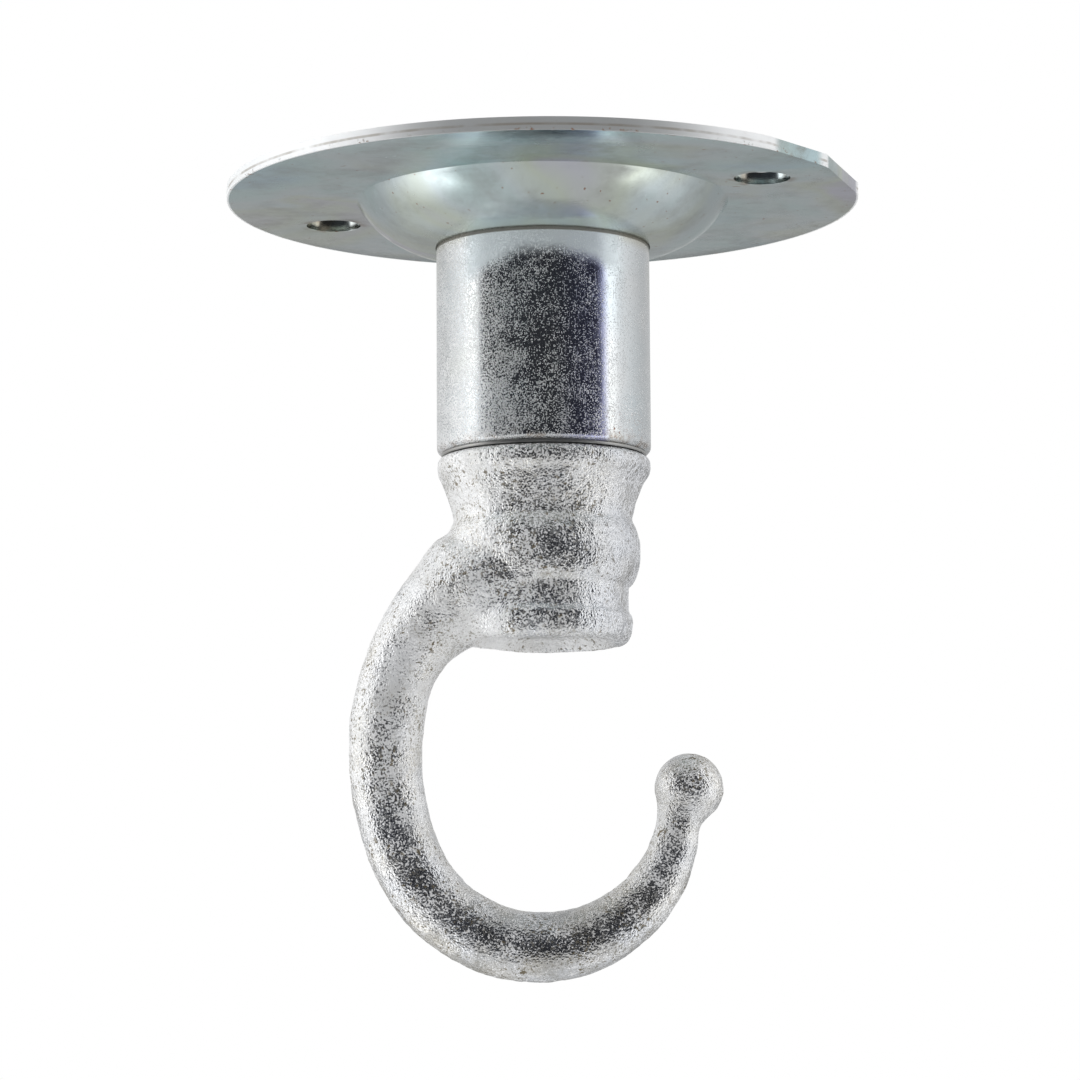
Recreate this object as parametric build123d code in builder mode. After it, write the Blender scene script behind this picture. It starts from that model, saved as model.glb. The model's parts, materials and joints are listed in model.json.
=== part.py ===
from build123d import *

import os
from math import hypot, sqrt

# Swivelling ceiling hook. A pressed round plate screws to the ceiling, a drawn sleeve hangs through
# the dome of the plate, and a cast hook turns under the sleeve on a headed pivot pin.
# Millimetres, +Z up. The origin is the centre of the plate's ceiling face, the pivot axis is Z,
# and the hook lies in the XZ plane with its mouth towards +X.

# ---- driving dimensions: ceiling plate ----
plate_d = 75.4
plate_t = 1.5
dome_d = 44.4           # at the plate's underside
dome_depth = 7.1        # from the ceiling face to the lip of the throat
dome_arc_r = 10.8       # bulge of the dome, seen from below
screw_inward = 1.45     # how far the screw holes stand inside the middle of the flat ring
screw_hole_d = 6.6
screw_azimuth = -26.0
flat_angles = (-17.5, -38.0)   # blanking flats on the rim, by the direction they face
flat_cuts = (0.9, 0.5)         # depth of each flat

# ---- driving dimensions: sleeve ----
sleeve_d = 25.4
sleeve_wall = 1.5
sleeve_drop = 24.85     # length below the lip of the throat
sleeve_corner_r = 0.7
flange_w = 3.2          # how far the rim reaches out over the throat
seam_gap = 0.08         # between the sleeve and the plate, all round

# ---- driving dimensions: pivot pin and washers ----
pin_d = 9.0
pin_head_lap = 2.0      # how far the head reaches past the shank
pin_head_h = 3.2
pin_crown_h = 1.6
spigot_shoulder = 1.0   # step from the shank down to the spigot
peen_lap = 2.2          # how far the peened end reaches past the spigot
peen_h = 2.4
thrust_inset = 0.55     # the washer's edge stands this far inside the sleeve's
thrust_washer_t = 0.4
retaining_gap = 1.7     # between the washer's edge and the sleeve's wall
retaining_washer_t = 2.0
head_washer_t = 1.0
washer_bevel = 0.1
bore_gap = 0.07         # radial running clearance of the hook on the pin
face_gap = 0.1          # axial running clearance at each turning face
seat_gap = 0.05         # radial clearance of pieces that don't turn on each other

# ---- driving dimensions: hook ----
boss_h = 22.25
collar_inset = 0.05     # the collar stands this far inside the sleeve
collar_drop = 1.05      # each drop is from the boss's top face, each rise from its foot
boss_top_corner = 0.4   # each of these is how far the boss steps in there from its collar
collar_low_step = 0.7
collar_low_drop = 2.85
waist_step = 2.2
waist_drop = 7.75
bead_step = 1.3
bead_drop = 11.75
groove_step = 2.7
groove_rise = 4.85
foot_step = 2.3
foot_rise = 2.4
foot_corner = 1.0
recess_gap = 0.8        # between the pin's head and the recess, all round
head_washer_gap = 0.3
recess_depth = 8.0
shoulder_line_r = 18.6  # centreline radii of the arm, from the boss round to the tip
shoulder_turn = 46.0    # as far as the boss, and root_turn on inside it
root_turn = 25.0
back_line_r = 31.0
back_turn = 38.0
bowl_line_r = 17.0
bowl_turn = 66.0
tip_line_r = 16.2
tip_turn = 82.0
bowl_x = -0.65          # lowest point of the arm's centreline
bowl_drop = 35.5        # from the boss's foot down to that point
root_d = 14.0           # arm diameters, from the boss round to the tip
shoulder_d = 8.8
back_d = 8.35
bowl_d = 8.3
neck_d = 5.2
root_swell = 2.4        # above 1, the arm swells late, close to the boss
tip_taper = 1.4         # above 1, the arm keeps its thickness longer before it narrows
neck_length = 4.6
ball_d = 8.15
ball_out = 0.75         # the ball sits a little outside the line of the neck

# ---- radii and levels worked out from the sizes above, the levels top down ----
sleeve_r = sleeve_d / 2
collar_r = sleeve_r - collar_inset
spigot_d = pin_d - 2 * spigot_shoulder
pin_head_d = pin_d + 2 * pin_head_lap
peen_d = spigot_d + 2 * peen_lap
recess_d = pin_head_d + 2 * recess_gap
screw_circle_r = (plate_d + dome_d) / 4 - screw_inward
throat_r = sleeve_r + seam_gap
dome_r = dome_d / 2
lip_z = -dome_depth
sleeve_foot_z = lip_z - sleeve_drop
sleeve_floor_z = sleeve_foot_z + sleeve_wall
boss_top_z = sleeve_foot_z - thrust_washer_t - face_gap
boss_foot_z = boss_top_z - boss_h
recess_floor_z = boss_foot_z + recess_depth
head_seat_z = recess_floor_z - face_gap - head_washer_t
bowl_z = boss_foot_z - bowl_drop


def disc_washer(outer_d, inner_d, thickness, top_z):
    """A flat washer with broken edges, its upper face at top_z."""
    with BuildPart() as washer:
        with BuildSketch(Plane.XY.offset(top_z)):
            Circle(outer_d / 2)
            Circle(inner_d / 2, mode=Mode.SUBTRACT)
        extrude(amount=-thickness)
        chamfer(washer.edges().filter_by(GeomType.CIRCLE), washer_bevel)
    return washer.part


os.makedirs("parts", exist_ok=True)

# ---- ceiling plate: one pressing with a dome, a throat, two screw holes and two rim flats ----
# The dome is an arc of revolution. Its centre is found from its two ends and its radius.
chord_r = dome_r - throat_r
chord_z = dome_depth - plate_t
chord = hypot(chord_r, chord_z)
rise = sqrt(dome_arc_r**2 - (chord / 2) ** 2)
arc_r = (dome_r + throat_r) / 2 - rise * chord_z / chord
arc_z = -(plate_t + dome_depth) / 2 + rise * chord_r / chord


def dome_point(radius, radial_place):
    """The point of a circle about the dome's centre that stands radial_place from the pivot axis."""
    return (radial_place, arc_z - sqrt(radius**2 - (radial_place - arc_r) ** 2))


def dome_arc(radius, start, end):
    """The arc about the dome's centre between two places that are given by their distances out."""
    return ThreePointArc(
        dome_point(radius, start),
        dome_point(radius, (start + end) / 2),
        dome_point(radius, end),
    )


dome_inner_r = dome_arc_r - plate_t
inner_top_r = arc_r + sqrt(dome_inner_r**2 - (arc_z + plate_t) ** 2)
with BuildPart() as ceiling_plate:
    with BuildSketch(Plane.XZ):
        with BuildLine():
            under = Line((plate_d / 2, -plate_t), (dome_r, -plate_t))
            bulge = RadiusArc(under @ 1, (throat_r, lip_z), dome_arc_r)
            lip = Line(bulge @ 1, dome_point(dome_inner_r, throat_r))
            inner = dome_arc(dome_inner_r, throat_r, inner_top_r)
            mouth = Line(inner @ 1, (dome_r - plate_t, 0))
            top = Line(mouth @ 1, (plate_d / 2, 0))
            Line(top @ 1, under @ 0)
        make_face()
    revolve(axis=Axis.Z)
    for angle, depth in zip(flat_angles, flat_cuts):
        facing = Plane.XY.rotated((0, 0, angle))
        with BuildSketch(facing):
            with Locations((plate_d - depth, 0)):
                Rectangle(plate_d, plate_d)
        extrude(amount=plate_t, both=True, mode=Mode.SUBTRACT)
    with BuildSketch():
        with PolarLocations(screw_circle_r, 2, start_angle=screw_azimuth):
            Circle(screw_hole_d / 2)
    extrude(amount=-plate_t, mode=Mode.SUBTRACT)
ceiling_plate.part.label = "ceiling_plate"
export_step(ceiling_plate.part, "parts/ceiling_plate.step")

# ---- sleeve: a drawn cup, its rim flared over the throat and its floor pierced for the spigot ----
flange_arc_r = dome_inner_r - seam_gap
flange_r = sleeve_r + flange_w
with BuildPart() as sleeve:
    with BuildSketch(Plane.XZ):
        with BuildLine():
            seat = dome_arc(flange_arc_r, flange_r, sleeve_r)
            wall = Line(seat @ 1, (sleeve_r, sleeve_foot_z + sleeve_corner_r))
            corner = RadiusArc(wall @ 1, (sleeve_r - sleeve_corner_r, sleeve_foot_z), sleeve_corner_r)
            floor = Line(corner @ 1, (spigot_d / 2 + seat_gap, sleeve_foot_z))
            bore = Line(floor @ 1, (spigot_d / 2 + seat_gap, sleeve_floor_z))
            inside = Line(bore @ 1, (sleeve_r - sleeve_wall, sleeve_floor_z))
            rise_up = Line(inside @ 1, dome_point(flange_arc_r - sleeve_wall, sleeve_r - sleeve_wall))
            upper = dome_arc(flange_arc_r - sleeve_wall, sleeve_r - sleeve_wall, flange_r)
            Line(upper @ 1, seat @ 0)
        make_face()
    revolve(axis=Axis.Z)
sleeve.part.label = "sleeve"
export_step(sleeve.part, "parts/sleeve.step")

# ---- washers: one under the sleeve, one inside it, one on the head of the pin ----
pin_hole_d = pin_d + 2 * seat_gap
thrust_washer = disc_washer(sleeve_d - 2 * thrust_inset, pin_hole_d, thrust_washer_t, sleeve_foot_z)
thrust_washer.label = "thrust_washer"
export_step(thrust_washer, "parts/thrust_washer.step")

retaining_top_z = sleeve_floor_z + retaining_washer_t
retaining_washer_d = sleeve_d - 2 * (sleeve_wall + retaining_gap)
retaining_washer = disc_washer(
    retaining_washer_d, spigot_d + 2 * seat_gap, retaining_washer_t, retaining_top_z
)
retaining_washer.label = "retaining_washer"
export_step(retaining_washer, "parts/retaining_washer.step")

head_washer = disc_washer(
    recess_d - 2 * head_washer_gap, pin_hole_d, head_washer_t, head_seat_z + head_washer_t
)
head_washer.label = "head_washer"
export_step(head_washer, "parts/head_washer.step")

# ---- pivot pin: head, shank, shoulder and spigot, the spigot's end peened over its washer ----
with BuildPart() as pivot_pin:
    with BuildSketch(Plane.XZ):
        with BuildLine():
            crown = TangentArc(
                (0, head_seat_z - pin_head_h),
                (pin_head_d / 2, head_seat_z - pin_head_h + pin_crown_h),
                tangent=(1, 0),
            )
            side = Line(crown @ 1, (pin_head_d / 2, head_seat_z))
            neck = Line(side @ 1, (pin_d / 2, head_seat_z))
            shank = Line(neck @ 1, (pin_d / 2, sleeve_foot_z))
            shoulder = Line(shank @ 1, (spigot_d / 2, sleeve_foot_z))
            spigot = Line(shoulder @ 1, (spigot_d / 2, retaining_top_z))
            peen_under = Line(spigot @ 1, (peen_d / 2, retaining_top_z))
            peen = TangentArc((0, retaining_top_z + peen_h), peen_under @ 1, tangent=(1, 0))
            Line(peen @ 0, crown @ 0)
        make_face()
    revolve(axis=Axis.Z)
pivot_pin.part.label = "pivot_pin"
export_step(pivot_pin.part, "parts/pivot_pin.step")

# ---- hook: one casting, a turned-looking boss with an arm that runs round to a ball ----
with BuildLine(Plane.XZ) as arm_line:
    bowl_out = JernArc((bowl_x, bowl_z), (-1, 0), bowl_line_r, -bowl_turn)
    back = JernArc(bowl_out @ 1, bowl_out % 1, back_line_r, -back_turn)
    shoulder_line = JernArc(back @ 1, back % 1, shoulder_line_r, -shoulder_turn)
    root_line = JernArc(shoulder_line @ 1, shoulder_line % 1, shoulder_line_r, -root_turn)
    tip_line = JernArc((bowl_x, bowl_z), (1, 0), tip_line_r, tip_turn)

# Round sections along the arm: a place on the centreline, the way the arm runs there, a diameter.
# The shoulder swells more and more towards the boss, as a cast root does, and ends inside it.
stations = [(root_line @ 1, root_line % 1 * -1, root_d)]
for step in range(6):
    share = 1 - step / 6
    swell = (root_d - shoulder_d) * share**root_swell
    stations.append((shoulder_line @ share, shoulder_line % share * -1, shoulder_d + swell))
for step in range(3):
    share = step / 3
    stations.append((back @ (1 - share), back % (1 - share) * -1, shoulder_d + (back_d - shoulder_d) * share))
for step in range(4):
    share = step / 4
    stations.append((bowl_out @ (1 - share), bowl_out % (1 - share) * -1, back_d + (bowl_d - back_d) * share))
for step in range(6):
    share = step / 5
    stations.append((tip_line @ share, tip_line % share, bowl_d + (neck_d - bowl_d) * share**tip_taper))
ball_centre = tip_line @ 1 + tip_line % 1 * neck_length + Vector(ball_out, 0, 0)
stations.append((ball_centre, tip_line % 1, neck_d))

with BuildPart() as hook:
    with BuildSketch(Plane.XZ):
        with BuildLine():
            axis_line = Line((0, boss_foot_z), (0, boss_top_z))
            top = Line(axis_line @ 1, (collar_r - boss_top_corner, boss_top_z))
            outline = Spline(
                top @ 1,
                (collar_r, boss_top_z - collar_drop),
                (collar_r - collar_low_step, boss_top_z - collar_low_drop),
                (collar_r - waist_step, boss_top_z - waist_drop),
                (collar_r - bead_step, boss_top_z - bead_drop),
                (collar_r - groove_step, boss_foot_z + groove_rise),
                (collar_r - foot_step, boss_foot_z + foot_rise),
                (collar_r - foot_step - foot_corner, boss_foot_z),
            )
            Line(outline @ 1, axis_line @ 0)
        make_face()
    revolve(axis=Axis.Z)
    for place, way, diameter in stations:
        with BuildSketch(Plane(origin=place, x_dir=(0, 1, 0), z_dir=way)):
            Circle(diameter / 2)
    loft()
    with Locations(ball_centre):
        Sphere(ball_d / 2)
    with Locations((0, 0, boss_foot_z)):
        Cylinder(
            recess_d / 2, recess_depth, align=(Align.CENTER, Align.CENTER, Align.MIN), mode=Mode.SUBTRACT
        )
        Cylinder(
            pin_d / 2 + bore_gap, boss_h, align=(Align.CENTER, Align.CENTER, Align.MIN), mode=Mode.SUBTRACT
        )
hook.part.label = "hook"
export_step(hook.part, "parts/hook.step")
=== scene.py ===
import json
from math import atan2, cos, degrees, hypot, pi, radians, sin, sqrt

import bmesh
import bpy
from bpy.props import FloatProperty, FloatVectorProperty, PointerProperty
from mathutils import Matrix, Vector


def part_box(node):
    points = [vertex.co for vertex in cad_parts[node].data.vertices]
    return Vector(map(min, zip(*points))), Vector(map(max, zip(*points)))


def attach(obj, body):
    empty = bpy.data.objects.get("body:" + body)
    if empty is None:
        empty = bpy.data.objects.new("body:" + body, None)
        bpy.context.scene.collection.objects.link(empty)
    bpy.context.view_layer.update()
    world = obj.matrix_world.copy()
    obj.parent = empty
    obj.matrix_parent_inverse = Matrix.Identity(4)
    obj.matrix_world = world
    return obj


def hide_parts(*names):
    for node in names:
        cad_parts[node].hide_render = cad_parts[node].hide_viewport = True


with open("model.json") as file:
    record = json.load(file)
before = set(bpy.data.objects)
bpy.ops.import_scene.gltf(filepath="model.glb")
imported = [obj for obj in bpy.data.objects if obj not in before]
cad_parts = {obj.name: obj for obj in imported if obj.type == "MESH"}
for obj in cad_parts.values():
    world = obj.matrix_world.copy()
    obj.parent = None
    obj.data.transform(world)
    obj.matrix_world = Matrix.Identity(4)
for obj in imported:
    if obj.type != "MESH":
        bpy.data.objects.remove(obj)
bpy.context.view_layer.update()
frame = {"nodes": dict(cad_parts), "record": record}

bl_info = {
    "name": "Swivel Ceiling Hook",
    "version": (1, 0, 0),
    "blender": (4, 5, 0),
    "location": "3D View > Sidebar > Hook",
    "description": "Makes the pressed plate, drawn sleeve, cast hook and pivot of a swivelling ceiling hook",
    "category": "Object",
}

MM = 0.001
MOUNTS = {mount["name"]: mount for mount in frame["record"]["mounts"]}
SCREWS = MOUNTS["screw_holes"]["dims"]
PLATE_LOW, PLATE_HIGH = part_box("ceiling_plate")
SLEEVE_LOW, SLEEVE_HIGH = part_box("sleeve")
HOOK_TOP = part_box("hook")[1].z
PIN_LOW, PIN_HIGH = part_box("pivot_pin")
HEAD_WASHER_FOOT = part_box("head_washer")[0].z
RETAINING_WASHER_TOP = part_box("retaining_washer")[1].z

RIM_INSET = 0.02 * MM                      # the pressed rim stays this far inside the CAD rim
HOLE_AZIMUTH = -26.0                       # degrees, of the line through the screw holes
RIM_FLATS = ((-17.5, 1.0), (-38.0, 0.56))  # the way each flat faces, and its share of the deepest cut
PIN_HOLE, FLOOR_CORNER = 3.55 * MM, 0.5 * MM  # in the sleeve's floor, and the rounding round it
BOWL_DROP = 35.5 * MM                      # from the boss's foot down to the bowl's centreline
BACK_WIDTH = 8.35 * MM                     # of the arm where its back runs into the bowl
ROOT_DEPTH, SHOULDER_DEPTH = 21.4 * MM, 17.4 * MM  # front to back, at the arm's root and at the shoulder
NECK_RUN, NECK_LEAN = 4.6 * MM, 0.75 * MM  # how far the ball stands past the arm's end, and aside
RECESS_RADIUS, RECESS_DEPTH = 7.38 * MM, 8.0 * MM
PEEN_RADIUS, CROWN = 5.7 * MM, 1.6 * MM    # of the pin's hammered end, and the rise of its head

# The boss's profile in mm: how far below its top face, and how far in from the collar there.
BOSS_PROFILE = (
    (0.00, 0.75), (0.18, 0.30), (0.45, 0.08), (0.85, 0.00), (1.30, 0.00), (1.80, 0.10), (2.20, 0.28),
    (2.45, 0.48), (2.65, 0.66), (3.00, 0.84), (3.60, 1.10), (4.60, 1.48), (5.60, 1.82), (6.60, 2.10),
    (7.30, 2.24), (7.75, 2.28), (7.95, 2.14), (8.30, 1.92), (9.00, 1.60), (9.80, 1.40), (10.6, 1.32),
    (11.6, 1.30), (12.6, 1.36), (13.5, 1.54), (14.2, 1.76), (14.8, 2.04), (15.2, 2.36), (15.4, 2.62),
    (15.6, 2.74), (16.4, 2.78), (17.4, 2.78), (18.4, 2.74), (18.75, 2.64), (18.95, 2.36), (19.15, 2.24),
    (19.7, 2.24), (20.4, 2.30), (21.1, 2.42), (21.6, 2.62), (22.0, 2.95), (22.2, 3.40), (22.25, 3.90),
)

# Each lamp: name, place, size in metres and power in watts.
LAMPS = (
    ("lamp_left", (-0.66, 0.08, 0.26), 0.5, 1.6),
    ("lamp_right", (0.68, 0.14, 0.22), 0.5, 1.0),
    ("lamp_above", (0.0, -0.1, 0.8), 0.6, 1.6),
)


# ---------------------------------------------------------------- sizes and colours


def length(name, description, default):
    """A size in metres that the sidebar shows as a length; default is given in millimetres."""
    return FloatProperty(
        name=name, description=description, default=default * MM, unit="LENGTH", precision=5
    )


def colour(name, description, default):
    """A colour of a finish, as linear red, green and blue."""
    return FloatVectorProperty(
        name=name, description=description, default=default, subtype="COLOR", min=0.0, max=1.0
    )


class PlateSizes(bpy.types.PropertyGroup):
    sheet: length("Sheet", "Thickness of the pressed sheet", 1.5)
    dome_radius: length("Dome radius", "Where the dome leaves the flat ring", 22.2)
    dome_arc: length("Dome arc", "Radius of the dome's bulge, seen from below", 10.8)
    throat_radius: length("Throat radius", "Hole that the sleeve hangs through", 12.78)
    edge_round: length("Edge round", "Rounding that shearing and plating leave on each edge", 0.32)
    flat_cut: length("Rim flat", "Depth of the deepest blanking flat on the rim", 0.9)


class SleeveSizes(bpy.types.PropertyGroup):
    radius: length("Radius", "Outside radius of the cup", 12.7)
    wall: length("Wall", "Wall thickness of the cup", 1.5)
    foot_round: length("Foot round", "Rounding where the wall turns into the floor", 0.7)
    rim_lift: length("Rim lift", "Clearance of the flared rim above the dome", 0.08)


class HookSizes(bpy.types.PropertyGroup):
    boss_height: length("Boss height", "Height of the stepped boss", 22.25)
    collar_radius: length("Collar radius", "Radius of the rounded collar at the top", 12.65)
    shoulder_arc: length("Shoulder arc", "Centreline radius where the arm leaves the boss", 18.6)
    back_arc: length("Back arc", "Centreline radius down the back", 31.0)
    bowl_arc: length("Bowl arc", "Centreline radius under the bowl", 17.0)
    tip_arc: length("Tip arc", "Centreline radius up to the tip", 16.2)
    bowl_x: length("Bowl place", "Sideways place of the bowl's lowest point", -0.65)
    root_width: length("Root width", "Width of the arm inside the boss", 14.0)
    shoulder_width: length("Shoulder width", "Width of the arm at the shoulder", 8.8)
    bowl_width: length("Bowl width", "Width of the arm in the bowl", 8.3)
    neck_width: length("Neck width", "Width of the arm under the ball", 5.2)
    ball_radius: length("Ball radius", "Radius of the ball on the tip", 4.08)
    voxel: length("Mesh grain", "Size of the casting's mesh faces", 0.26)


class PinSizes(bpy.types.PropertyGroup):
    shank_radius: length("Shank radius", "Radius of the pin where the hook turns on it", 4.5)
    spigot_radius: length("Spigot radius", "Radius of the thinner end", 3.5)
    hammering: length("Hammering", "Depth of the hammer marks on the peened end", 0.5)


class Finishes(bpy.types.PropertyGroup):
    sheet_zinc: colour("Sheet zinc", "Zinc on the pressed plate", (0.585, 0.66, 0.675))
    tube_zinc: colour("Tube zinc", "Zinc on the drawn sleeve", (0.68, 0.705, 0.72))
    cast_zinc: colour("Casting zinc", "Zinc on the rough casting", (0.88, 0.87, 0.84))
    # Dull white grains, also used as painted glints.
    frost_and_glints: colour("Frost", "Dull white grains in the zinc", (0.96, 0.965, 0.97))
    olive_stain: colour("Olive stain", "Passivation caught in the casting's pits", (0.17, 0.14, 0.07))
    rust: colour("Rust", "Rust spots along the sheared edges", (0.27, 0.10, 0.035))
    steel: colour("Steel", "Plain steel of the pin and washers", (0.30, 0.295, 0.285))


class StageSizes(bpy.types.PropertyGroup):
    camera_distance: FloatProperty(
        name="Camera distance", description="From the pivot axis", default=0.488, unit="LENGTH"
    )
    camera_height: FloatProperty(
        name="Camera height", description="Height of the lens", default=-0.10933, unit="LENGTH"
    )
    camera_aside: FloatProperty(
        name="Camera aside", description="Sideways place of the lens", default=-0.00053, unit="LENGTH",
        precision=5,
    )
    camera_pitch: FloatProperty(
        name="Camera pitch", description="How far the lens looks up", default=radians(7.832), unit="ROTATION"
    )
    camera_roll: FloatProperty(
        name="Camera roll", description="Tilt of the frame", default=radians(-0.33), unit="ROTATION"
    )
    lens: FloatProperty(name="Lens", description="Focal length in millimetres", default=138.8, min=10.0)
    floor_height: FloatProperty(
        name="Floor height", description="Level of the floor under the hook", default=-0.19, unit="LENGTH"
    )


# ---------------------------------------------------------------- finishes


class Signal:
    """A number that varies over a surface. An expression on signals adds its Math nodes."""

    def __init__(self, finish, socket):
        self.finish, self.socket = finish, socket

    def maths(self, operation, first, second=0.0, clamp=False):
        settings = {"operation": operation, "use_clamp": clamp}
        made = self.finish.node("ShaderNodeMath", settings, {0: first, 1: second})
        return Signal(self.finish, made.outputs[0])

    def __add__(self, other):
        return self.maths("ADD", self, other)

    def __radd__(self, other):
        return self.maths("ADD", other, self)

    def __sub__(self, other):
        return self.maths("SUBTRACT", self, other)

    def __rsub__(self, other):
        return self.maths("SUBTRACT", other, self)

    def __mul__(self, other):
        return self.maths("MULTIPLY", self, other)

    def __rmul__(self, other):
        return self.maths("MULTIPLY", other, self)

    def __truediv__(self, other):
        return self.maths("DIVIDE", self, other)

    def clamped(self):
        return self.maths("ADD", self, 0.0, clamp=True)

    def more_of(self, other):
        return self.maths("MAXIMUM", self, other)

    def between(self, low, high, at_low=0.0, at_high=1.0):
        """at_low below low, at_high above high, with an even rise between."""
        if low > high:
            low, high, at_low, at_high = high, low, at_high, at_low
        mapped = self.finish.node(
            "ShaderNodeMapRange",
            {"interpolation_type": "SMOOTHSTEP"},
            {"Value": self, "From Min": low, "From Max": high, "To Min": at_low, "To Max": at_high},
        )
        return Signal(self.finish, mapped.outputs["Result"])


class Finish:
    """A node tree, of a material or of the world, with the few things that the finishes here are made of."""

    def __init__(self, owner):
        owner.use_nodes = True
        self.tree = owner.node_tree
        self.tree.nodes.clear()

    def node(self, kind, settings=None, sockets=None):
        """Adds a node: its type, its settings, which are set first, then its sockets' values or links."""
        made = self.tree.nodes.new(kind)
        for key, value in (settings or {}).items():
            if key == "stops":
                while len(made.color_ramp.elements) < len(value):
                    made.color_ramp.elements.new(0.5)
                for element, (place, shade) in zip(made.color_ramp.elements, value):
                    element.position, element.color = place, (*shade, 1.0)
            else:
                setattr(made, key, value)
        for key, value in (sockets or {}).items():
            if isinstance(value, Signal):
                value = value.socket
            if isinstance(value, bpy.types.NodeSocket):
                self.tree.links.new(value, made.inputs[key])
            elif made.inputs[key].type == "RGBA" and len(value) == 3:
                made.inputs[key].default_value = (*value, 1.0)
            else:
                made.inputs[key].default_value = value
        return made

    def place(self, source="Object"):
        return self.node("ShaderNodeTexCoord").outputs[source]

    def parts_of(self, vector):
        """The X, Y and Z of a vector, as signals."""
        return [Signal(self, part) for part in self.node("ShaderNodeSeparateXYZ", None, {0: vector}).outputs]

    def from_axis(self, place):
        """How far a place is from the pivot axis."""
        flat = self.node("ShaderNodeVectorMath", {"operation": "MULTIPLY"}, {0: place, 1: (1.0, 1.0, 0.0)})
        length_of = self.node("ShaderNodeVectorMath", {"operation": "LENGTH"}, {0: flat.outputs[0]})
        return Signal(self, length_of.outputs["Value"])

    def turned(self, place, scale=(1.0, 1.0, 1.0), location=(0.0, 0.0, 0.0), rotation=(0.0, 0.0, 0.0)):
        sockets = {"Vector": place, "Location": location, "Rotation": rotation, "Scale": scale}
        return self.node("ShaderNodeMapping", None, sockets).outputs[0]

    def noise(self, place, grain_mm, detail=2.0, roughness=0.5, distortion=0.0):
        """Soft noise whose lumps are about grain_mm across."""
        sockets = {"Vector": place, "Scale": 1.0 / (grain_mm * MM), "Detail": detail}
        sockets.update({"Roughness": roughness, "Distortion": distortion})
        return Signal(self, self.node("ShaderNodeTexNoise", None, sockets).outputs[0])

    def cells(self, place, grain_mm):
        """Voronoi cells about grain_mm across, as the distance from the middle of each."""
        sockets = {"Vector": place, "Scale": 1.0 / (grain_mm * MM)}
        return Signal(self, self.node("ShaderNodeTexVoronoi", None, sockets).outputs["Distance"])

    def ramp(self, signal, stops):
        return self.node("ShaderNodeValToRGB", {"stops": stops}, {0: signal}).outputs[0]

    def blend(self, share, first, second, way="MIX"):
        """A colour that is first where share is 0 and second where it is 1."""
        settings = {"data_type": "RGBA", "blend_type": way}
        return self.node("ShaderNodeMix", settings, {0: share, 6: first, 7: second}).outputs[2]

    def bump(self, height, strength, depth_mm, under=None):
        sockets = {"Height": height, "Strength": strength, "Distance": depth_mm * MM}
        if under is not None:
            sockets["Normal"] = under
        return self.node("ShaderNodeBump", None, sockets).outputs[0]

    def surface(self, **sockets):
        """The metal's shader and the output."""
        named = {key.replace("_", " ").title(): value for key, value in sockets.items()}
        shader = self.node("ShaderNodeBsdfPrincipled", None, named)
        self.node("ShaderNodeOutputMaterial", None, {"Surface": shader.outputs[0]})


def new_finish(name):
    """A material by that name, and the finish that fills its node tree."""
    material = bpy.data.materials.new(name)
    return material, Finish(material)


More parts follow.
